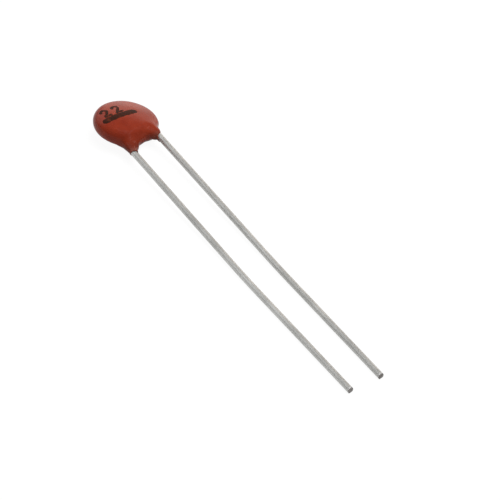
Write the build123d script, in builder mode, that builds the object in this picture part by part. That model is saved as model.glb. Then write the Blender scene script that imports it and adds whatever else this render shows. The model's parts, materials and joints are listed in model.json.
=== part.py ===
"""Ceramic disc capacitor: a dipped lens-shaped body with two straight wire leads, lying at rest.

The leads point along +X, the wire on the upper face is on the +Y side, and the surface is at z = 0.
"""
import os
from math import asin, atan2, cos, degrees, hypot, radians, sin, sqrt, tan

from build123d import *

os.makedirs("parts", exist_ok=True)

# Leads: tinned copper wire on the standard grid pitch
lead_pitch = 2.54
exit_pitch = 2.44
lead_offset = 0.145
wire_diameter = 0.45
upper_lead_reach = 32.61
lower_lead_reach = 33.01
floor_bend_radius = 100.0
tip_bevel = 0.05

# Dipped body: a lens with a full round rim, cut back on the side where the leads come out
body_diameter = 4.61
body_thickness = 1.8
rim_radius = 0.68
flat_cut = 0.355
flat_round = 0.9
flat_clearance = 0.002
flat_blend = 0.4
flat_turn = 8.0

# Run-down legs of the coating, which taper from the rim to a thin collar on each wire
upper_collar_run = 0.28
lower_collar_run = 1.16
upper_collar_slant = 52.0
lower_collar_slant = 20.0
collar_spare = 0.5
collar_wall = 0.04
leg_root_sink = 1.05
leg_root_inset = 0.42
leg_root_width = 1.6
leg_root_depth = 1.24
leg_waist_inset = 0.32
leg_waist_width = 1.34
leg_waist_depth = 1.1
leg_neck_inset = 0.26
leg_neck_width = 1.08
leg_neck_depth = 0.84
leg_waist_share = 0.33
leg_neck_share = 0.62
leg_blend = 0.5

# Ceramic chip with a silver layer on each face
ceramic_share = 0.716
ceramic_thickness = 0.3
electrode_share = 0.88
electrode_thickness = 0.015

# Soldered stretch of each wire: it lies across the silver and steps down past the chip's edge
solder_film = 0.02
solder_height = 0.27
solder_width = 0.84
solder_slope = 15.0
solder_overrun = 0.18
wire_end_reach = -0.68
wire_end_side = 0.52
wire_edge_clearance = 0.095
wire_edge_side = 1.16
solder_end_setback = 0.88
jog_radius = 0.6

# Rest pose: the dome and both leads touch the surface, so the body leans to the upper wire's side
body_roll = 8.96
lead_slope = 2.3

# Derived: lens profile and the height at which the dome rests on the surface
roll = radians(body_roll)
slope = radians(lead_slope)
rim_centre = body_diameter / 2 - rim_radius
half_thickness = body_thickness / 2
face_radius = (rim_centre**2 + half_thickness**2 - rim_radius**2) / (body_thickness - 2 * rim_radius)
face_centre = half_thickness - face_radius
face_angle = degrees(asin(rim_centre / (face_radius - rim_radius)))
flat_reach = body_diameter / 2 - flat_cut
flat_start = flat_reach - flat_round
flat_half_depth = sqrt(face_radius**2 - flat_start**2) + face_centre + flat_clearance
body_height = face_radius + face_centre * cos(slope) * cos(roll)

# Derived: the body's own axes, and the frame's origin under the middle of the whole part
longest_reach = max(upper_lead_reach, lower_lead_reach)
body_x = -(longest_reach - body_diameter / 2) / 2
along = Vector(cos(slope), 0, -sin(slope))
normal = Vector(sin(slope) * cos(roll), sin(roll), cos(slope) * cos(roll))
centre = Vector(body_x, 0, body_height)
upper_half = Plane(origin=centre, x_dir=along, z_dir=normal)
lower_half = Plane(origin=centre, x_dir=along, z_dir=-normal)
lengthwise = Plane(origin=centre, x_dir=-along, z_dir=upper_half.y_dir)
flat_facing = along.rotate(Axis((0, 0, 0), normal), flat_turn)
flat_side = Plane(origin=centre, x_dir=flat_facing, z_dir=flat_facing.cross(normal))
body_axis = Axis(centre, normal)

# Derived: the chip in the body, levels above the chip's middle, and where the wires leave the body
ceramic_diameter = ceramic_share * body_diameter
electrode_diameter = electrode_share * ceramic_diameter
wire_edge_reach = sqrt((ceramic_diameter / 2 + wire_edge_clearance) ** 2 - wire_edge_side**2)
solder_end_reach = wire_edge_reach - solder_end_setback
silver_level = ceramic_thickness / 2
solder_level = silver_level + electrode_thickness
wire_level = solder_level + solder_film + wire_diameter / 2
exit_level = exit_pitch / 2 * sin(roll)
exit_side = exit_pitch / 2 * cos(roll)
touch_x = body_x + (body_height - wire_diameter / 2) / tan(slope)
wire_turn = atan2(wire_edge_side - wire_end_side, wire_edge_reach - wire_end_reach)


# One wire: soldered stretch, step down, sloping run to the surface and the run that lies on it
def make_lead(half, side, reach):
    side_shift = side * lead_offset
    rest_y = lead_offset + side * lead_pitch / 2
    end = half.from_local_coords((wire_end_reach, wire_end_side, wire_level))
    edge = half.from_local_coords((wire_edge_reach, wire_edge_side, wire_level))
    leave = half.from_local_coords((flat_reach, exit_side + side_shift, exit_level))
    touch = (touch_x, rest_y, wire_diameter / 2)
    tip = (body_x + reach, rest_y, wire_diameter / 2)
    with BuildPart() as wire:
        with BuildLine() as route:
            FilletPolyline(end, edge, leave, touch, tip, radius=(jog_radius, jog_radius, floor_bend_radius))
        with BuildSketch(Plane(origin=route.line @ 0, z_dir=route.line % 0)):
            Circle(wire_diameter / 2)
        sweep(path=route.line)
        chamfer(wire.faces().sort_by(Axis.X)[-1].edges(), length=tip_bevel)
    return wire.part


# One mound of solder that holds the wire on the silver
def make_solder(half, wire):
    end_reach = wire_end_reach - solder_overrun * cos(wire_turn)
    end_side = wire_end_side - solder_overrun * sin(wire_turn)
    far_side = wire_end_side + (solder_end_reach - wire_end_reach) * tan(wire_turn)
    with BuildPart() as mound:
        with BuildSketch(half.offset(solder_level)):
            with Locations(((end_reach + solder_end_reach) / 2, (end_side + far_side) / 2)):
                SlotCenterToCenter(
                    hypot(solder_end_reach - end_reach, far_side - end_side),
                    solder_width,
                    rotation=degrees(wire_turn),
                )
        extrude(amount=solder_height, taper=solder_slope)
        add(wire, mode=Mode.SUBTRACT)
    return mound.part


# One silver layer on a face of the chip
def make_electrode(half):
    with BuildPart() as layer:
        with BuildSketch(half.offset(silver_level)):
            Circle(electrode_diameter / 2)
        extrude(amount=electrode_thickness)
    return layer.part


# One run-down leg of the coating, from a broad oval inside the rim to a slanting collar on the wire
def make_leg(half, side, collar_run, collar_slant):
    leg_side = exit_side + side * lead_offset
    collar_width = wire_diameter + 2 * collar_wall
    root_reach = flat_reach - leg_root_sink
    waist_reach = root_reach + leg_waist_share * (leg_root_sink + collar_run)
    neck_reach = root_reach + leg_neck_share * (leg_root_sink + collar_run)
    ovals = (
        (root_reach, leg_root_inset, exit_level / 2, leg_root_width, leg_root_depth),
        (waist_reach, leg_waist_inset, exit_level, leg_waist_width, leg_waist_depth),
        (neck_reach, leg_neck_inset, exit_level, leg_neck_width, leg_neck_depth),
        (flat_reach + collar_run, 0, exit_level, collar_width, collar_width),
    )
    with BuildPart() as leg:
        for reach, inset, level, width, depth in ovals:
            middle = half.from_local_coords((reach, leg_side - inset, level))
            with BuildSketch(Plane(middle, x_dir=half.y_dir, z_dir=along)):
                Ellipse(width / 2, depth / 2)
        loft()
        extrude(leg.faces().sort_by(Axis(centre, along))[-1], amount=collar_spare)
        facing = along.rotate(Axis((0, 0, 0), half.z_dir - half.y_dir), collar_slant)
        split(bisect_by=Plane(middle, z_dir=facing), keep=Keep.BOTTOM)
    return leg.part


# Ceramic chip
with BuildPart() as ceramic_disc:
    with BuildSketch(upper_half.offset(-ceramic_thickness / 2)):
        Circle(ceramic_diameter / 2)
    extrude(amount=ceramic_thickness)

electrode_upper = make_electrode(upper_half)
electrode_lower = make_electrode(lower_half)
lead_upper = make_lead(upper_half, 1, upper_lead_reach)
lead_lower = make_lead(lower_half, -1, lower_lead_reach)
solder_upper = make_solder(upper_half, lead_upper)
solder_lower = make_solder(lower_half, lead_lower)
leg_upper = make_leg(upper_half, 1, upper_collar_run, upper_collar_slant)
leg_lower = make_leg(lower_half, -1, lower_collar_run, lower_collar_slant)

# Dipped coating: the lens and its two legs, hollow where the chip, silver, solder and wires sit
with BuildPart() as coating:
    with BuildSketch(lengthwise):
        with BuildLine():
            Line((0, -half_thickness), (0, half_thickness))
            CenterArc((0, face_centre), face_radius, 90 - face_angle, face_angle)
            CenterArc((rim_centre, 0), rim_radius, face_angle - 90, 180 - 2 * face_angle)
            CenterArc((0, -face_centre), face_radius, -90, face_angle)
        make_face()
    revolve(axis=body_axis)
    with BuildSketch(flat_side):
        with Locations((flat_start, 0)):
            Rectangle(body_diameter, body_diameter, align=(Align.MIN, Align.CENTER))
            Ellipse(flat_round, flat_half_depth, mode=Mode.SUBTRACT)
    extrude(amount=body_diameter, both=True, mode=Mode.SUBTRACT)
    fillet(coating.edges(Select.NEW), radius=flat_blend)
    add(leg_upper)
    fillet(coating.edges(Select.NEW), radius=leg_blend)
    add(leg_lower)
    fillet(coating.edges(Select.NEW), radius=leg_blend)
    add(ceramic_disc.part, mode=Mode.SUBTRACT)
    add([electrode_upper, electrode_lower], mode=Mode.SUBTRACT)
    add([solder_upper, solder_lower], mode=Mode.SUBTRACT)
    add([lead_upper, lead_lower], mode=Mode.SUBTRACT)

pieces = {
    "electrode_upper": electrode_upper,
    "electrode_lower": electrode_lower,
    "solder_upper": solder_upper,
    "solder_lower": solder_lower,
    "lead_upper": lead_upper,
    "lead_lower": lead_lower,
    "ceramic_disc": ceramic_disc.part,
    "coating": coating.part,
}
for name, piece in pieces.items():
    piece.label = name
    export_step(piece, f"parts/{name}.step")
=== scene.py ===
"""Looks of the ceramic disc capacitor: dipped coating, tinned wires and ink mark, on a white surface."""
import json
from math import acos, atan2, cos, hypot, pi, radians, sin, tan

import bmesh
import bpy
import numpy as np
from mathutils import Matrix, Vector, noise
from mathutils.bvhtree import BVHTree


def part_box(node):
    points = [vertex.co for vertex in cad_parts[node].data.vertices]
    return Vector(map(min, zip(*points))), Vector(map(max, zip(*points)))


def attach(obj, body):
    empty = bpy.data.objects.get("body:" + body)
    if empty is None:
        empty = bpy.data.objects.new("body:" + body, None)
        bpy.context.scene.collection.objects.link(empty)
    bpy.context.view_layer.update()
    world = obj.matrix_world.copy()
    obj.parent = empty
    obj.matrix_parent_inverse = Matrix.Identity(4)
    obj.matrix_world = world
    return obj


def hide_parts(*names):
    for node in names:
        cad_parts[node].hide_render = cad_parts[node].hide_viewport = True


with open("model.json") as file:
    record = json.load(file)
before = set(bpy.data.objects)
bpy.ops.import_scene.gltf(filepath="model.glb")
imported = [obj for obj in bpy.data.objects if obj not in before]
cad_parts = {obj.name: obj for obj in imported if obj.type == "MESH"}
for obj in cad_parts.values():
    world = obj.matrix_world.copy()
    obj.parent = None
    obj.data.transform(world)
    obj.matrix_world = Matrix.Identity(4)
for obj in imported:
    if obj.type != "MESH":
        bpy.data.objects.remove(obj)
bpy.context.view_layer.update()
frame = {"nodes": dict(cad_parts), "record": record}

MM = 0.001

# Least upward share of the normal of a face that looks up
FACING_UP = 0.9

# Photograph: camera direction, scale and the image point that shows the disc's foot
VIEW_TURN = radians(61.3717)
VIEW_LIFT = radians(35.2118)
VIEW_DISTANCE = 700 * MM
VIEW_CLIP = (0.01, 20)
PIXELS_PER_MM = 14.6476
IMAGE_SIZE = 500
FOOT_PIXEL = (127.663, 135.182)
FOOT_SIDE = 0.11 * MM
SENSOR_WIDTH = 36.0

# Wires, as on the part
EXIT_PITCH = 2.44 * MM
LEAD_OFFSET = 0.145 * MM
EXIT_REACH = 1.95 * MM
EDGE_REACH = 1.304 * MM
EDGE_SIDE = 1.16 * MM
END_REACH = -0.68 * MM
END_SIDE = 0.52 * MM
WIRE_LEVEL = 0.41 * MM
JOG_RADIUS = 0.6 * MM
FLOOR_BEND_RADIUS = 100 * MM

# Wire mesh: sides round it, steps along it and in its bends
WIRE_SIDES = 32
WIRE_STEP = 0.12 * MM
TIP_STEP = 0.015 * MM
BEND_STEP = radians(6)
LEAST_BEND_STEPS = 6

# Uneven tin coat: depths as shares of the wire's radius, bumps to a millimetre
TIN_DEPTH = 0.012
TIN_THINNING = 0.004
TIN_BUMPS = 1.5

# Cut tip of a wire: a pinched lip on top, a raised foot and a cut that leans to one side. Drop, rise,
# lean and scratches are shares of the wire's radius.
TIP_SETBACK = 0.08 * MM
LIP_LENGTH = 0.13 * MM
LIP_DROP = 0.26
FOOT_RISE = 0.25
LIP_TURN = radians(-12)
LIP_LEAST = radians(5)
LIP_SIDES = 5
LEAN_LENGTH = 0.4 * MM
LEAN = 0.2
SCRATCH_DEPTH = 0.04
SCRATCHES_ALONG = 3
SCRATCHES_ACROSS = 14
CUT_CROWN = 0.012 * MM

# Coating skin in millimetres: cell size and how long each smoothing runs
MERGE_GAP = 0.0002
CONTACT_GAP = 0.005
SKIN_CELL = 0.03
EASE_SHARE = 0.5
REGAIN_SHARE = 0.53
SKIN_ROUNDS = 6
BODY_ROUNDS = 200
CORNER_ROUNDS = 1500
NORMAL_ROUNDS = 25
MELT_ROUNDS = 90
COLLAR_LIFT = 0.015

# Stretches of the coating in millimetres along the leads from the chip's middle, and how wide they fade
BODY_END, BODY_FADE = 1.6, 0.4
CORNER_START = 0.6
LEG_START = 1.7
COLLAR_START, COLLAR_FADE = 1.9, 0.3
MELT_START, MELT_START_FADE = 0.2, 0.6
MELT_END, MELT_END_FADE = 2.1, 0.3

# Slow waves of the dip in millimetres, and the finer ripples on them
DIP_WAVE = 1.3
DIP_DEPTH = 0.008
RIPPLES = 2.3
RIPPLE_SHARE = 0.4

# Where the dip is fuller or thinner: middle along, across and above the chip's middle, width and rise
FLANK_PATCH = ((1.3, 1.95, 0.0), 0.7, -0.09)
WEB_PATCH = ((1.85, -0.05, -0.38), 0.8, 0.15)
CROOK_PATCH = ((2.12, 1.0, 0.0), 0.35, 0.05)
LEG_PATCH = ((2.82, -0.61, 0.0), 0.45, -0.1)
ROOT_PATCH = ((1.68, -1.37, -0.44), 0.4, 0.045)
SHOULDER_PATCH = ((1.82, 1.43, 0.48), 0.4, 0.06)
COLLAR_PATCH = ((2.05, 1.36, 0.42), 0.45, 0.11)

# Painted shade on the legs, where they lie low under the body, and see-through film at the collars: where
# their tints start and end along the leads from the chip's middle. The film of the wire past FILM_SIDE
# starts sooner, by FILM_SHIFT.
LEG_SHADE_SPAN = (1.6525 * MM, 2.5525 * MM)
FILM = (2.7725 * MM, 3.0725 * MM)
FILM_SIDE = 0.4 * MM
FILM_SHIFT = 0.82 * MM

# Ink mark on the upper face, in millimetres across and away from the leads
INK_MIDDLE = (-0.70, 0.33)
INK_TURN = radians(7)
INK_CORNER = (-1.45, -0.7)
INK_AREA = (2.9, 2.1)
INK_CELL = 0.03
INK_MERGE_DIGITS = 4
INK_LIFT = 0.006 * MM
INK_THICKNESS = 0.008 * MM
RAY_HEIGHT = 3 * MM

# Ragged edge of the ink: waves to a millimetre, seed and depth
INK_RAGS = ((5, 3, 0.05), (14, 8, 0.03))

# Plain number two, drawn in a box one unit high and 0.6 wide, and the bar under the pair
NUMBER_TWO = [
    (0.02, 0.76), (0.08, 0.91), (0.22, 0.99), (0.38, 0.99), (0.52, 0.90),
    (0.57, 0.74), (0.52, 0.58), (0.36, 0.38), (0.04, 0.02), (0.60, 0.02),
]
NUMBER_HEIGHT = 0.76
NUMBER_STROKE = 0.2
NUMBER_STARTS = (-0.92, -0.02)
BAR = [(-1.12, -0.36), (1.14, -0.36)]
BAR_STROKE = 0.48

# Colours: where there are several, from the noise's low end to its high end
RESIN = ((0.205, 0.021, 0.008), (0.240, 0.027, 0.010), (0.275, 0.034, 0.012))
# Darker resin of the legs: painted shade where they lie low under the body
LEG_SHADE_RESIN = (0.155, 0.018, 0.006)
RESIN_FILM = (0.180, 0.042, 0.026)
TIN = ((0.61, 0.61, 0.59), (0.66, 0.66, 0.64), (0.71, 0.71, 0.69))
PINCHED_TIN = ((0.46, 0.45, 0.44), (0.60, 0.59, 0.58))
CUT_METAL = ((0.22, 0.205, 0.195), (0.32, 0.305, 0.295))
INK = ((0.030, 0.0095, 0.005), (0.044, 0.0115, 0.006), (0.100, 0.0220, 0.009))
CERAMIC = ((0.36, 0.28, 0.19), (0.52, 0.42, 0.30))
SILVER = ((0.66, 0.64, 0.60), (0.80, 0.79, 0.76))
SOLDER = ((0.48, 0.48, 0.49), (0.62, 0.62, 0.62))
WHITE = (1, 1, 1)
WARM_WHITE = (1, 0.9, 0.82)

# Stage: floor, studio and the watts to a square metre of a lamp at brightness one
FLOOR_REACH = 3.0
FLOOR_GREY = (0.55, 0.55, 0.55)
FLOOR_GLOW = 1.1
FLOOR_SEEN = 0.85
FLOOR_MIRRORED = 0.32
HORIZON_START, HORIZON_END = radians(3), radians(6)
HORIZON_GLOW, SKY_GLOW = 1.0, 0.25
LAMP_POWER = 4


def clamp(value, low, high):
    return max(low, min(high, value))


# Body axes, read from the chip: its middle, along the leads, across them and its upper face's normal
def body_axes():
    chip = frame["nodes"]["ceramic_disc"].data
    low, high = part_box("ceramic_disc")
    face = max((p for p in chip.polygons if p.normal.z > FACING_UP), key=lambda p: p.area)
    normal = face.normal.normalized()
    along = Vector((normal.z, 0, -normal.x)).normalized()
    return (low + high) / 2, along, normal.cross(along), normal


centre, along, across, normal = body_axes()


# Node helpers
def add_node(tree, kind, values=None, **settings):
    node = tree.nodes.new(kind)
    for name, value in settings.items():
        setattr(node, name, value)
    for name, value in (values or {}).items():
        node.inputs[name].default_value = value
    return node


def new_material(name, metallic, roughness):
    material = bpy.data.materials.new(name)
    material.use_nodes = True
    tree = material.node_tree
    shader = tree.nodes["Principled BSDF"]
    shader.inputs["Metallic"].default_value = metallic
    shader.inputs["Roughness"].default_value = roughness
    return material, tree, shader


# Arithmetic on sockets and plain numbers
def compute(tree, operation, *values):
    node = add_node(tree, "ShaderNodeMath", operation=operation)
    for socket, value in zip(node.inputs, values):
        if isinstance(value, bpy.types.NodeSocket):
            tree.links.new(value, socket)
        else:
            socket.default_value = value
    return node.outputs["Value"]


def object_noise(tree, scale, detail, stretch=(1, 1, 1)):
    place = add_node(tree, "ShaderNodeTexCoord")
    mapping = add_node(tree, "ShaderNodeMapping", {"Scale": stretch})
    tree.links.new(place.outputs["Object"], mapping.inputs["Vector"])
    texture = add_node(tree, "ShaderNodeTexNoise", {"Scale": scale, "Detail": detail})
    tree.links.new(mapping.outputs["Vector"], texture.inputs["Vector"])
    return texture.outputs["Fac"]


def ramp(tree, factor, colours, places):
    node = add_node(tree, "ShaderNodeValToRGB")
    elements = node.color_ramp.elements
    while len(elements) < len(colours):
        elements.new(0.5)
    for element, place, colour in zip(elements, places, colours):
        element.position = place
        element.color = (*colour, 1)
    tree.links.new(factor, node.inputs["Fac"])
    return node.outputs["Color"]


def spread(tree, factor, low, high, start=0.3, end=0.7):
    values = {"From Min": start, "From Max": end, "To Min": low, "To Max": high}
    node = add_node(tree, "ShaderNodeMapRange", values)
    tree.links.new(factor, node.inputs["Value"])
    return node.outputs["Result"]


def tint(tree, colour, factor, other):
    node = add_node(tree, "ShaderNodeMix", data_type="RGBA")
    tree.links.new(factor, node.inputs["Factor"])
    tree.links.new(colour, node.inputs["A"])
    node.inputs["B"].default_value = (*other, 1)
    return node.outputs["Result"]


# Bumps laid over each other: height, depth in millimetres and strength
def bump(tree, shader, layers):
    previous = None
    for height, depth, strength in layers:
        node = add_node(tree, "ShaderNodeBump", {"Distance": depth * MM, "Strength": strength})
        tree.links.new(height, node.inputs["Height"])
        if previous:
            tree.links.new(previous, node.inputs["Normal"])
        previous = node.outputs["Normal"]
    tree.links.new(previous, shader.inputs["Normal"])


# Glossy dipped resin: clouded red-brown, darker on the legs as painted shade, with a soft orange-peel
# surface
def coating_material():
    material, tree, shader = new_material("dipped_resin", metallic=0.0, roughness=0.2)
    shader.inputs["Specular IOR Level"].default_value = 0.17
    clouds = object_noise(tree, scale=900, detail=4)
    place = add_node(tree, "ShaderNodeTexCoord")
    axes = add_node(tree, "ShaderNodeSeparateXYZ")
    tree.links.new(place.outputs["Object"], axes.inputs["Vector"])
    past_side = compute(tree, "GREATER_THAN", axes.outputs["Y"], FILM_SIDE)
    film_reach = compute(tree, "MULTIPLY_ADD", past_side, FILM_SHIFT, axes.outputs["X"])
    # Painted shade on the legs: the resin darkens along the leads where they lie low under the body
    leg_shade_start, leg_shade_end = (centre.x + reach for reach in LEG_SHADE_SPAN)
    film_start, film_end = (centre.x + reach for reach in FILM)
    thin = spread(tree, axes.outputs["X"], low=0, high=1, start=leg_shade_start, end=leg_shade_end)
    film = spread(tree, film_reach, low=0, high=1, start=film_start, end=film_end)
    colour = ramp(tree, clouds, RESIN, places=(0.3, 0.5, 0.72))
    colour = tint(tree, colour, thin, LEG_SHADE_RESIN)
    colour = tint(tree, colour, film, RESIN_FILM)
    gloss = spread(tree, object_noise(tree, scale=1600, detail=3), low=0.2, high=0.3)
    tree.links.new(colour, shader.inputs["Base Color"])
    tree.links.new(gloss, shader.inputs["Roughness"])
    bump(tree, shader, [
        (object_noise(tree, scale=1300, detail=2), 0.02, 0.35),
        (object_noise(tree, scale=6000, detail=3), 0.002, 0.2),
    ])
    return material


# Dull tin over copper wire: drawn along its length, with patches of brighter and greyer tin
def wire_material():
    material, tree, shader = new_material("tinned_wire", metallic=1.0, roughness=0.4)
    streaks = object_noise(tree, scale=1500, detail=4, stretch=(0.12, 3.0, 3.0))
    patches = object_noise(tree, scale=700, detail=5, stretch=(0.5, 1.0, 1.0))
    streaked = spread(tree, streaks, low=0, high=0.4)
    patched = spread(tree, patches, low=0, high=0.6)
    blend = compute(tree, "ADD", streaked, patched)
    tree.links.new(ramp(tree, blend, TIN, places=(0.1, 0.5, 0.9)), shader.inputs["Base Color"])
    tree.links.new(spread(tree, patches, low=0.62, high=0.5), shader.inputs["Roughness"])
    bump(tree, shader, [
        (streaks, 0.006, 0.15),
        (object_noise(tree, scale=9000, detail=3, stretch=(0.04, 1, 1)), 0.002, 0.25),
        (object_noise(tree, scale=7000, detail=4), 0.002, 0.14),
    ])
    return material


# Lip pinched over the cut: matt smeared tin
def lip_material():
    material, tree, shader = new_material("pinched_tin", metallic=0.0, roughness=0.6)
    shader.inputs["Specular IOR Level"].default_value = 0.2
    smear = object_noise(tree, scale=5000, detail=4, stretch=(0.25, 1, 1))
    tree.links.new(ramp(tree, smear, PINCHED_TIN, places=(0.35, 0.65)), shader.inputs["Base Color"])
    bump(tree, shader, [(smear, 0.01, 0.4)])
    return material


# Sheared wire end: dull copper smeared with tin
def cut_material():
    material, tree, shader = new_material("cut_wire_end", metallic=1.0, roughness=0.5)
    smear = object_noise(tree, scale=5000, detail=4, stretch=(1, 0.25, 1))
    tree.links.new(ramp(tree, smear, CUT_METAL, places=(0.35, 0.65)), shader.inputs["Base Color"])
    bump(tree, shader, [(smear, 0.02, 0.5)])
    return material


# Stamped ink: nearly black, browner where it is thin
def ink_material():
    material, tree, shader = new_material("marking_ink", metallic=0.0, roughness=0.5)
    shader.inputs["Specular IOR Level"].default_value = 0.06
    thin = object_noise(tree, scale=2600, detail=4)
    tree.links.new(ramp(tree, thin, INK, places=(0.35, 0.56, 0.72)), shader.inputs["Base Color"])
    tree.links.new(spread(tree, thin, low=0.42, high=0.6), shader.inputs["Roughness"])
    bump(tree, shader, [(object_noise(tree, scale=5000, detail=3), 0.006, 0.4)])
    return material


# Fired ceramic: matt, buff, fine-grained
def ceramic_material():
    material, tree, shader = new_material("fired_ceramic", metallic=0.0, roughness=0.75)
    grain = object_noise(tree, scale=9000, detail=5)
    tree.links.new(ramp(tree, grain, CERAMIC, places=(0.3, 0.7)), shader.inputs["Base Color"])
    bump(tree, shader, [(grain, 0.01, 0.4)])
    return material


# Fired silver paste: pale, matt and a little blotched
def silver_material():
    material, tree, shader = new_material("fired_silver", metallic=1.0, roughness=0.5)
    blotch = object_noise(tree, scale=3000, detail=5)
    tree.links.new(ramp(tree, blotch, SILVER, places=(0.3, 0.7)), shader.inputs["Base Color"])
    tree.links.new(spread(tree, blotch, low=0.58, high=0.42), shader.inputs["Roughness"])
    bump(tree, shader, [(object_noise(tree, scale=12000, detail=3), 0.005, 0.4)])
    return material


# Solder: satin grey with a frosted grain
def solder_material():
    material, tree, shader = new_material("solder", metallic=1.0, roughness=0.35)
    frost = object_noise(tree, scale=4000, detail=5)
    tree.links.new(ramp(tree, frost, SOLDER, places=(0.3, 0.7)), shader.inputs["Base Color"])
    tree.links.new(spread(tree, frost, low=0.28, high=0.45), shader.inputs["Roughness"])
    bump(tree, shader, [(frost, 0.01, 0.3)])
    return material


# Piece helpers
def add_object(name, data):
    added = bpy.data.objects.new(name, data)
    bpy.context.scene.collection.objects.link(added)
    return added


def add_piece(name, mesh, materials):
    piece = add_object(name, mesh)
    for material in materials:
        mesh.materials.append(material)
    mesh.shade_smooth()
    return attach(piece, "root")


def mesh_tree(mesh):
    return BVHTree.FromPolygons([v.co for v in mesh.vertices], [p.vertices for p in mesh.polygons])


# Surfaces of several nodes in millimetres
def nodes_tree(names):
    vertices, faces = [], []
    for name in names:
        mesh = frame["nodes"][name].data
        start = len(vertices)
        vertices += [v.co / MM for v in mesh.vertices]
        faces += [[start + i for i in p.vertices] for p in mesh.polygons]
    return BVHTree.FromPolygons(vertices, faces)


# Closed outer skin of the coating in millimetres, without the walls that touch the inner pieces
def outer_skin():
    inner = nodes_tree([n for n in frame["nodes"] if n != "coating"])
    skin = bmesh.new()
    skin.from_mesh(frame["nodes"]["coating"].data)
    bmesh.ops.scale(skin, vec=(1 / MM,) * 3, verts=skin.verts)
    bmesh.ops.remove_doubles(skin, verts=skin.verts, dist=MERGE_GAP)
    walls = [f for f in skin.faces if inner.find_nearest(f.calc_center_median(), CONTACT_GAP)[0]]
    bmesh.ops.delete(skin, geom=walls, context="FACES")
    bmesh.ops.holes_fill(skin, edges=[e for e in skin.edges if e.is_boundary], sides=0)
    bmesh.ops.recalc_face_normals(skin, faces=skin.faces)
    mesh = bpy.data.meshes.new("outer_skin")
    skin.to_mesh(mesh)
    skin.free()
    return mesh


# The skin as even cells
def remeshed(form):
    holder = add_object("coating_form", form)
    remesh = holder.modifiers.new("even", "REMESH")
    remesh.mode = "VOXEL"
    remesh.voxel_size = SKIN_CELL
    depsgraph = bpy.context.evaluated_depsgraph_get()
    skin = bpy.data.meshes.new_from_object(holder.evaluated_get(depsgraph))
    bpy.data.objects.remove(holder)
    return skin


# Each vertex's step to the middle of its neighbours
def steps_to_middle(points, edges):
    first, second = edges.T
    counts = np.bincount(edges.ravel(), minlength=len(points))
    total = np.zeros_like(points)
    for axis in range(3):
        total[:, axis] += np.bincount(first, points[second, axis], len(points))
        total[:, axis] += np.bincount(second, points[first, axis], len(points))
    return total / counts[:, None] - points


def read_points(mesh):
    points = np.zeros(len(mesh.vertices) * 3)
    mesh.vertices.foreach_get("co", points)
    return points.reshape(-1, 3)


def write_points(mesh, points):
    mesh.vertices.foreach_set("co", points.ravel())
    mesh.update()


def read_normals(mesh):
    normals = np.zeros(len(mesh.vertices) * 3)
    mesh.vertex_normals.foreach_get("vector", normals)
    return normals.reshape(-1, 3)


# Values at the vertices, spread to their neighbours round by round
def relaxed(values, edges, share, rounds):
    values = values.copy()
    for _ in range(rounds):
        values += EASE_SHARE * share[:, None] * steps_to_middle(values, edges)
    return values


# How far each point lies along the leads from the chip's middle
def reaches(points):
    return (points - np.array(centre / MM)) @ np.array(along)


# Evens out the remeshed skin without shrinking it, and takes the frame's facets off the body
def even_out(mesh, edges):
    points = read_points(mesh)
    for _ in range(SKIN_ROUNDS):
        points += EASE_SHARE * steps_to_middle(points, edges)
        points -= REGAIN_SHARE * steps_to_middle(points, edges)
    body = np.clip((BODY_END - reaches(points)) / BODY_FADE, 0, 1)
    smooth = relaxed(points, edges, body, BODY_ROUNDS)
    write_points(mesh, smooth + relaxed(points - smooth, edges, body, BODY_ROUNDS))


# Sets the legs back on the part's surface, with the collars lifted clear of the wires
def restore_legs(mesh, form):
    middle = centre / MM
    surface = mesh_tree(form)
    for vertex, normal_here in zip(mesh.vertices, read_normals(mesh)):
        reach = (vertex.co - middle).dot(along)
        if reach > LEG_START:
            spot = surface.find_nearest(vertex.co)[0]
            lift = COLLAR_LIFT * clamp((reach - COLLAR_START) / COLLAR_FADE, 0, 1)
            vertex.co = spot + Vector(normal_here) * lift
    mesh.update()


# Eases the hollow corners round the legs: vertices there only move outwards, as a dip fills a corner
def fill_corners(mesh, edges):
    points = read_points(mesh)
    legs = np.flatnonzero(reaches(points) > CORNER_START)
    places = np.full(len(points), -1)
    places[legs] = np.arange(len(legs))
    links = places[edges]
    links = links[(links >= 0).all(axis=1)]
    leg_links = np.bincount(links.ravel(), minlength=len(legs))
    all_links = np.bincount(edges.ravel(), minlength=len(points))[legs]
    free = leg_links == all_links
    part = points[legs]
    for turn in range(CORNER_ROUNDS):
        if turn % NORMAL_ROUNDS == 0:
            points[legs] = part
            write_points(mesh, points)
            normals = read_normals(mesh)[legs]
        rise = np.einsum("ij,ij->i", steps_to_middle(part, links), normals)
        part += normals * (EASE_SHARE * np.maximum(rise, 0) * free)[:, None]
    points[legs] = part
    write_points(mesh, points)


# Melts the ridges where the legs rise out of the body, and leaves the collars' ends sharp
def melt_roots(mesh, edges):
    points = read_points(mesh)
    reach = reaches(points)
    share = np.clip((reach - MELT_START) / MELT_START_FADE, 0, 1)
    share *= np.clip((MELT_END - reach) / MELT_END_FADE, 0, 1)
    write_points(mesh, relaxed(points, edges, share, MELT_ROUNDS))


# Function for a soft patch's rise at a point, which fades to zero from the patch's middle to its width
def patch_rise(patch):
    (reach, side, level), width, rise = patch
    middle = centre / MM + along * reach + across * side + normal * level
    return lambda point: rise * clamp(1 - ((point - middle).length / width) ** 2, 0, 1) ** 2


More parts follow.
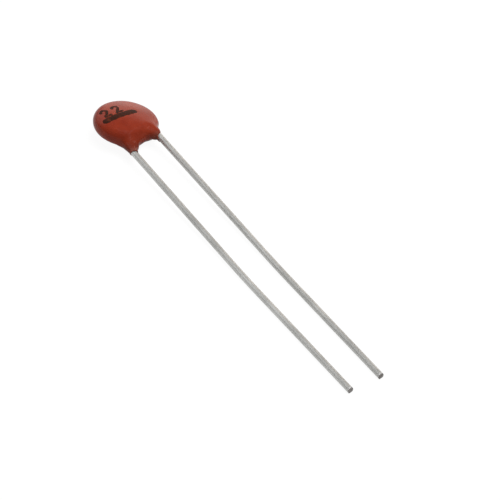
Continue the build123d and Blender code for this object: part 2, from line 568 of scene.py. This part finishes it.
# Slow waves left by the dip, its fuller and thinner patches, and the upper collar drawn along its wire
def add_dip_waves(mesh):
    patches = (FLANK_PATCH, WEB_PATCH, CROOK_PATCH, LEG_PATCH, ROOT_PATCH, SHOULDER_PATCH)
    rises = [patch_rise(patch) for patch in patches]
    drawn = patch_rise(COLLAR_PATCH)
    for vertex, normal_here in zip(mesh.vertices, read_normals(mesh)):
        point = vertex.co.copy()
        wave = noise.noise(point / DIP_WAVE) + RIPPLE_SHARE * noise.noise(point * RIPPLES / DIP_WAVE)
        rise = wave * DIP_DEPTH + sum(rise_at(point) for rise_at in rises)
        vertex.co += Vector(normal_here) * rise + along * drawn(point)
        vertex.co.z = max(vertex.co.z, 0)


# Coating: the outer skin remeshed evenly, with the legs' corners eased and a dipped unevenness
def make_coating():
    form = outer_skin()
    skin = remeshed(form)
    edges = np.array([e.vertices[:] for e in skin.edges])
    even_out(skin, edges)
    restore_legs(skin, form)
    fill_corners(skin, edges)
    melt_roots(skin, edges)
    add_dip_waves(skin)
    skin.transform(Matrix.Scale(MM, 4))
    coating = add_piece("coating_skin", skin, [coating_material()])
    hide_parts("coating")
    return coating


# Route of a wire's middle line: corners rounded to their radii
def rounded_route(corners, radii):
    route = [corners[0]]
    for before, corner, after, radius in zip(corners, corners[1:], corners[2:], radii):
        arriving = (corner - before).normalized()
        leaving = (after - corner).normalized()
        turn = arriving.angle(leaving)
        setback = radius * tan(turn / 2)
        bisector = (leaving - arriving).normalized()
        hub = corner + bisector * (radius / cos(turn / 2))
        first = corner - arriving * setback - hub
        spin = arriving.cross(leaving).normalized()
        count = max(LEAST_BEND_STEPS, int(turn / BEND_STEP) + 1)
        for index in range(count + 1):
            route.append(hub + Matrix.Rotation(turn * index / count, 3, spin) @ first)
    route.append(corners[-1])
    return route


# Evenly spaced points along a route, closer over the last stretch before its tip
def spaced(route):
    tip = route[-1]
    tip_start = tip.lerp(route[-2], LEAN_LENGTH / (tip - route[-2]).length)
    runs = [(start, end, WIRE_STEP) for start, end in zip(route, route[1:-1] + [tip_start])]
    runs.append((tip_start, tip, TIP_STEP))
    points = [route[0]]
    for start, end, step in runs:
        count = max(1, round((end - start).length / step))
        points += [start.lerp(end, index / count) for index in range(1, count + 1)]
    return points


# Points on a wire's middle line: across the silver, down past the chip's edge, to the surface and along it
def wire_points(node, side, rest_y, radius):
    half = normal * side
    out = across * side
    roll = atan2(normal.y, hypot(normal.x, normal.z))
    slope = atan2(normal.x, normal.z)
    exit_side = EXIT_PITCH / 2 * cos(roll) + side * LEAD_OFFSET
    exit_level = EXIT_PITCH / 2 * sin(roll)
    end = centre + along * END_REACH + out * END_SIDE + half * WIRE_LEVEL
    edge = centre + along * EDGE_REACH + out * EDGE_SIDE + half * WIRE_LEVEL
    leave = centre + along * EXIT_REACH + out * exit_side + half * exit_level
    touch = Vector((centre.x + (centre.z - radius) / tan(slope), rest_y, radius))
    tip = Vector((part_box(node)[1].x - TIP_SETBACK, rest_y, radius))
    radii = [JOG_RADIUS, JOG_RADIUS, FLOOR_BEND_RADIUS]
    return spaced(rounded_route([end, edge, leave, touch, tip], radii))


# Angles round a wire from its top, with the two edges of its lip always on the same sides
def ring_angles(half_lip):
    rest = WIRE_SIDES - 2 * LIP_SIDES
    lip = [half_lip * (side / LIP_SIDES - 1) for side in range(2 * LIP_SIDES)]
    return lip + [half_lip + 2 * (pi - half_lip) * side / rest for side in range(rest)]


# Ring round a wire with an uneven tin coat, pinched and leaning near the tip, and its share of the cut
def wire_ring(point, ahead, tip, radius):
    shear = Vector((0, sin(LIP_TURN), cos(LIP_TURN)))
    left = shear.cross(ahead).normalized()
    above = ahead.cross(left)
    gap = (tip - point).length
    cut = clamp(1 - gap / LIP_LENGTH, 0, 1)
    lean = LEAN * clamp(1 - gap / LEAN_LENGTH, 0, 1)
    top = 1 - LIP_DROP * cut
    foot = -1 + FOOT_RISE * cut**2
    even_lip = 2 * pi * LIP_SIDES / WIRE_SIDES
    before_lip = clamp((gap - LIP_LENGTH) / (LEAN_LENGTH - LIP_LENGTH), 0, 1)
    ring = []
    for angle in ring_angles(max(acos(top), even_lip * before_lip, LIP_LEAST)):
        seed = (point + (left * sin(angle) + above * cos(angle)) * radius) / MM
        tin = TIN_DEPTH * noise.noise(seed * TIN_BUMPS) - TIN_THINNING
        grooves = Vector((seed.x * SCRATCHES_ALONG, seed.y * SCRATCHES_ACROSS, seed.z))
        scratch = SCRATCH_DEPTH * cut * noise.noise(grooves)
        height = clamp(cos(angle), foot, top + scratch)
        outward = (left - ahead * lean) * sin(angle) + above * height
        ring.append(point + outward * radius * (1 + tin))
    return ring, cut


# Wire: a drawn round wire with a slightly uneven tin coat and a pinched, sheared tip
def make_wire(node, mount, side, materials):
    record = next(m for m in frame["record"]["mounts"] if m["name"] == mount)
    radius = record["dims"]["r_mm"] * MM
    points = wire_points(node, side, record["pos_m"][1], radius)
    tin, lip, cut_end = range(len(materials))
    wire = bmesh.new()
    rings, cuts = [], []
    for index, point in enumerate(points):
        ahead = points[min(index + 1, len(points) - 1)] - points[max(index - 1, 0)]
        ring, cut = wire_ring(point, ahead.normalized(), points[-1], radius)
        rings.append([wire.verts.new(spot) for spot in ring])
        cuts.append(cut)
    for first, second, cut in zip(rings, rings[1:], cuts[1:]):
        for turn in range(WIRE_SIDES):
            after = (turn + 1) % WIRE_SIDES
            side_face = wire.faces.new((first[turn], first[after], second[after], second[turn]))
            side_face.material_index = lip if cut > 0 and turn < 2 * LIP_SIDES else tin
    ends = ((rings[0], points[0], -1, tin), (rings[-1], points[-1], 1, cut_end))
    for ring, point, outward, finish in ends:
        hub = wire.verts.new(point + Vector((outward * CUT_CROWN, 0, 0)))
        for turn in range(WIRE_SIDES):
            cap = wire.faces.new((ring[turn], ring[(turn + 1) % WIRE_SIDES], hub))
            cap.material_index = finish
    bmesh.ops.recalc_face_normals(wire, faces=wire.faces)
    mesh = bpy.data.meshes.new(node + "_wire")
    wire.to_mesh(mesh)
    wire.free()
    piece = add_piece(node + "_wire", mesh, materials)
    for polygon in mesh.polygons:
        polygon.use_smooth = polygon.material_index == tin
    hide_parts(node)
    return piece


# Distance from a point to a stroke through corners, less its half width: below zero is ink
def stroke_depth(x, y, corners, width):
    gaps = []
    for (x0, y0), (x1, y1) in zip(corners, corners[1:]):
        run = (x1 - x0) ** 2 + (y1 - y0) ** 2
        share = clamp(((x - x0) * (x1 - x0) + (y - y0) * (y1 - y0)) / run, 0, 1)
        gaps.append(hypot(x - x0 - share * (x1 - x0), y - y0 - share * (y1 - y0)))
    return min(gaps) - width / 2


# Distance from a point to the mark's strokes with their ragged edge: below zero is ink
def ink_depth(x, y):
    strokes = [(BAR, BAR_STROKE)]
    for start in NUMBER_STARTS:
        corners = [(start + px * NUMBER_HEIGHT, py * NUMBER_HEIGHT) for px, py in NUMBER_TWO]
        strokes.append((corners, NUMBER_STROKE))
    depth = min(stroke_depth(x, y, corners, width) for corners, width in strokes)
    ragged = sum(noise.noise(Vector((x * waves, y * waves, seed))) * rag for waves, seed, rag in INK_RAGS)
    return depth + ragged


# Ink inside one cell of the grid, cut along the strokes' edges
def cell_outline(cell):
    outline = []
    for (x0, y0, d0), (x1, y1, d1) in zip(cell, cell[1:] + cell[:1]):
        if d0 < 0:
            outline.append((x0, y0))
        if (d0 < 0) != (d1 < 0):
            share = d0 / (d0 - d1)
            outline.append((x0 + share * (x1 - x0), y0 + share * (y1 - y0)))
    return outline


# Place on the dome of a point of the mark
def ink_spot(dome, x, y):
    over = INK_MIDDLE[0] + x * cos(INK_TURN) - y * sin(INK_TURN)
    away = INK_MIDDLE[1] + x * sin(INK_TURN) + y * cos(INK_TURN)
    at = centre + (across * over - along * away) * MM
    hit, _, _, _ = dome.ray_cast(at + normal * RAY_HEIGHT, -normal)
    return hit + normal * INK_LIFT


# Turns a sheet of ink into a closed film with a sharp rim
def thicken(sheet):
    rim = [edge for edge in sheet.edges if edge.is_boundary]
    under = {vertex: sheet.verts.new(vertex.co - normal * INK_THICKNESS) for vertex in list(sheet.verts)}
    for face in list(sheet.faces):
        sheet.faces.new([under[vertex] for vertex in reversed(face.verts)])
    for edge in rim:
        first, second = edge.verts
        edge.smooth = False
        sheet.faces.new((first, second, under[second], under[first]))
        sheet.edges.get((under[first], under[second])).smooth = False


# Ink mark: a cell grid cut along the strokes' edges and laid on the dome
def make_mark(coating):
    dome = mesh_tree(coating.data)
    columns, rows = (round(length / INK_CELL) for length in INK_AREA)
    depths = {}
    for column in range(columns + 1):
        for row in range(rows + 1):
            x, y = INK_CORNER[0] + column * INK_CELL, INK_CORNER[1] + row * INK_CELL
            depths[column, row] = (x, y, ink_depth(x, y))
    mark = bmesh.new()
    placed = {}
    for column in range(columns):
        for row in range(rows):
            cell = [depths[column + i, row + j] for i, j in ((0, 0), (1, 0), (1, 1), (0, 1))]
            corners = []
            for x, y in cell_outline(cell):
                key = (round(x, INK_MERGE_DIGITS), round(y, INK_MERGE_DIGITS))
                if key not in placed:
                    placed[key] = mark.verts.new(ink_spot(dome, x, y))
                if placed[key] not in corners:
                    corners.append(placed[key])
            if len(corners) >= 3:
                mark.faces.new(corners)
    thicken(mark)
    bmesh.ops.recalc_face_normals(mark, faces=mark.faces)
    mesh = bpy.data.meshes.new("ink_mark")
    mark.to_mesh(mesh)
    mark.free()
    return add_piece("ink_mark", mesh, [ink_material()])


# White surface: it glows white where it is seen, less where it is mirrored, and keeps a soft shadow
def floor_material():
    material = bpy.data.materials.new("white_surface")
    material.use_nodes = True
    tree = material.node_tree
    tree.nodes.clear()
    ray = add_node(tree, "ShaderNodeLightPath").outputs
    mirrored = compute(tree, "MAXIMUM", ray["Is Glossy Ray"], ray["Is Transmission Ray"])
    faint = compute(tree, "MULTIPLY", mirrored, FLOOR_MIRRORED)
    share = compute(tree, "MULTIPLY_ADD", ray["Is Camera Ray"], FLOOR_SEEN, faint)
    paper = add_node(tree, "ShaderNodeBsdfDiffuse", {"Color": (*FLOOR_GREY, 1)})
    glow = add_node(tree, "ShaderNodeEmission", {"Color": (*WHITE, 1), "Strength": FLOOR_GLOW})
    mix = add_node(tree, "ShaderNodeMixShader")
    output = add_node(tree, "ShaderNodeOutputMaterial")
    for source, socket in zip((share, paper.outputs[0], glow.outputs[0]), mix.inputs):
        tree.links.new(source, socket)
    tree.links.new(mix.outputs[0], output.inputs["Surface"])
    return material


def make_floor():
    mesh = bpy.data.meshes.new("floor")
    corners = [(x * FLOOR_REACH, y * FLOOR_REACH, 0) for x, y in ((-1, -1), (1, -1), (1, 1), (-1, 1))]
    mesh.from_pydata(corners, [], [(0, 1, 2, 3)])
    mesh.materials.append(floor_material())
    floor = add_object("floor", mesh)


# World: a dim studio, white along the horizon
def make_world():
    world = bpy.data.worlds.new("studio")
    bpy.context.scene.world = world
    world.use_nodes = True
    tree = world.node_tree
    place = add_node(tree, "ShaderNodeTexCoord")
    height = add_node(tree, "ShaderNodeSeparateXYZ")
    tree.links.new(place.outputs["Generated"], height.inputs["Vector"])
    levels = {
        "From Min": sin(HORIZON_START), "From Max": sin(HORIZON_END),
        "To Min": HORIZON_GLOW, "To Max": SKY_GLOW,
    }
    sky = add_node(tree, "ShaderNodeMapRange", levels, interpolation_type="SMOOTHSTEP")
    tree.links.new(height.outputs["Z"], sky.inputs["Value"])
    studio = tree.nodes["Background"]
    studio.inputs["Color"].default_value = (*WHITE, 1)
    tree.links.new(sky.outputs["Result"], studio.inputs["Strength"])


# Lamp: a soft rectangle of even brightness that faces the body, turned and lifted by degrees
def add_lamp(name, turn, lift, distance, width, height, brightness, colour, mirrored):
    lamp = bpy.data.lights.new(name, "AREA")
    lamp.shape = "RECTANGLE"
    lamp.size = width
    lamp.size_y = height
    lamp.energy = brightness * LAMP_POWER * width * height
    lamp.color = colour
    turn, lift = radians(turn), radians(lift)
    toward = Vector((cos(turn) * cos(lift), sin(turn) * cos(lift), sin(lift)))
    holder = add_object(name, lamp)
    holder.location = centre + toward * distance
    holder.rotation_euler = toward.to_track_quat("Z", "Y").to_euler()
    holder.visible_glossy = mirrored
    holder.visible_camera = False


# Lamps: a wide soft box overhead, a low window behind the body and a fill on its left
def make_lamps():
    add_lamp(
        "overhead", turn=60, lift=68, distance=0.6, width=0.5, height=0.5,
        brightness=3.92, colour=WHITE, mirrored=False,
    )
    add_lamp(
        "window", turn=138.5, lift=16.5, distance=0.5, width=0.4, height=0.32,
        brightness=1.0, colour=WARM_WHITE, mirrored=True,
    )
    add_lamp(
        "fill", turn=193, lift=36, distance=0.6, width=0.6, height=0.46,
        brightness=0.8, colour=WHITE, mirrored=True,
    )


# Camera: a long lens at the photograph's angle, aimed so that the disc's foot falls on its pixel
def make_camera():
    right = Vector((cos(VIEW_TURN), sin(VIEW_TURN), 0))
    toward = Vector((sin(VIEW_TURN), -cos(VIEW_TURN), 0))
    back = toward * cos(VIEW_LIFT) + Vector((0, 0, sin(VIEW_LIFT)))
    up = back.cross(right)
    foot = Vector((centre.x, FOOT_SIDE, 0))
    focal_pixels = PIXELS_PER_MM * VIEW_DISTANCE / MM
    middle = IMAGE_SIZE / 2
    sight = right * (middle - FOOT_PIXEL[0]) - up * (middle - FOOT_PIXEL[1]) - back * focal_pixels
    depth = -sight.normalized()
    side = up.cross(depth).normalized()
    lens = bpy.data.cameras.new("camera")
    lens.sensor_width = SENSOR_WIDTH
    lens.lens = SENSOR_WIDTH * focal_pixels / IMAGE_SIZE
    lens.clip_start, lens.clip_end = VIEW_CLIP
    camera = add_object("camera", lens)
    camera.matrix_world = Matrix((side, depth.cross(side), depth)).transposed().to_4x4()
    camera.location = foot + back * VIEW_DISTANCE
    bpy.context.scene.camera = camera


# Finishes of the sealed inner pieces, which keep the part's own meshes
def dress_inner_pieces():
    silver = silver_material()
    solder = solder_material()
    finishes = {
        "ceramic_disc": ceramic_material(),
        "electrode_upper": silver,
        "electrode_lower": silver,
        "solder_upper": solder,
        "solder_lower": solder,
    }
    for node, finish in finishes.items():
        mesh = frame["nodes"][node].data
        mesh.materials.clear()
        mesh.materials.append(finish)


coating = make_coating()
wire_finishes = [wire_material(), lip_material(), cut_material()]
make_wire("lead_upper", "lead_upper_wire", 1, wire_finishes)
make_wire("lead_lower", "lead_lower_wire", -1, wire_finishes)
make_mark(coating)
dress_inner_pieces()
make_floor()
make_world()
make_lamps()
make_camera()
bpy.context.scene.view_settings.view_transform = "Standard"
